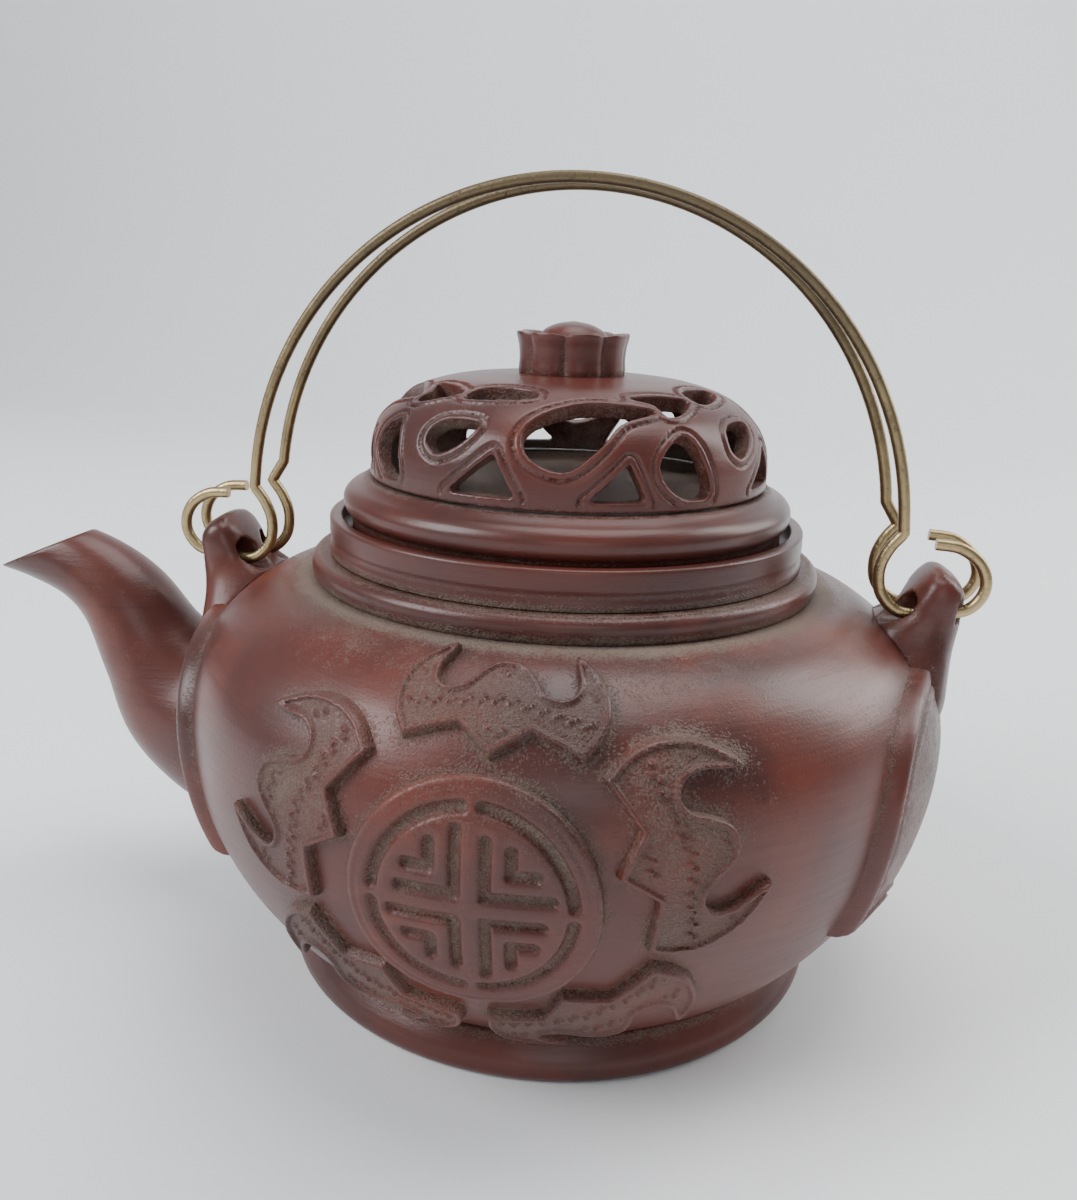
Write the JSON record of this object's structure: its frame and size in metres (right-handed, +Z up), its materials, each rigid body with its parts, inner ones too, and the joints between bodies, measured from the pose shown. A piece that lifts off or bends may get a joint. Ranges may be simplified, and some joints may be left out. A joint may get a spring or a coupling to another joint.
{
  "type": "teapot",
  "caption": "Round red-clay teapot with a curved spout, openwork domed lid, applied bat and fret reliefs, and twin folding wire bail handles through lugs on the shoulder.",
  "frame": {"origin": "centre of the whole object's footprint on the surface it stands on; the pot's own turning axis is at x = +20.2 mm because the spout reaches further than the back lug", "axes": "+Z up, -X towards the spout's tip, -Y towards the front medallion, +X towards the back lug"},
  "size_m": [0.1829, 0.1332, 0.1354],
  "materials": {
    "zisha_clay": "burnished unglazed stoneware, soft sheen, dust in the hollows",
    "brass_wire": "drawn wire, brown patina at the top of the arch"
  },
  "bodies": {
    "pot": {"base_disc": "zisha_clay", "foot_ring": "zisha_clay", "belly": "zisha_clay", "shoulder_collar": "zisha_clay", "mouth_ring": "zisha_clay", "spout": "zisha_clay", "spout_plaque": "zisha_clay", "back_plaque": "zisha_clay", "lug_spout_side": "zisha_clay", "lug_back_side": "zisha_clay", "medallion_front": "zisha_clay", "bat_front_top": "zisha_clay", "bat_front_right": "zisha_clay", "bat_front_left": "zisha_clay", "bat_front_lower_left": "zisha_clay", "bat_front_lower_right": "zisha_clay", "medallion_back": "zisha_clay", "bat_back_top": "zisha_clay", "bat_back_right": "zisha_clay", "bat_back_left": "zisha_clay", "bat_back_lower_left": "zisha_clay", "bat_back_lower_right": "zisha_clay"},
    "lid": {"lid_plate": "zisha_clay", "lid_locating_ring": "zisha_clay", "lid_dome": "zisha_clay", "lid_knob": "zisha_clay", "knob_centre": "zisha_clay"},
    "wire_front": {"handle_wire_front": "brass_wire"},
    "wire_back": {"handle_wire_back": "brass_wire"}
  },
  "joints": [
    {"name": "lid_lift", "type": "slide", "parent": "pot", "child": "lid", "axis": [0, 0, 1], "range_m": [0, 0.018]},
    {"name": "wire_front_fold", "type": "hinge", "parent": "pot", "child": "wire_front", "pos_m": [0.0202, -0.0038, 0.0683], "axis": [1, 0, 0], "range_deg": [-2, 100]},
    {"name": "wire_back_fold", "type": "hinge", "parent": "pot", "child": "wire_back", "pos_m": [0.0202, 0.0038, 0.0683], "axis": [-1, 0, 0], "range_deg": [-2, 100]}
  ]
}
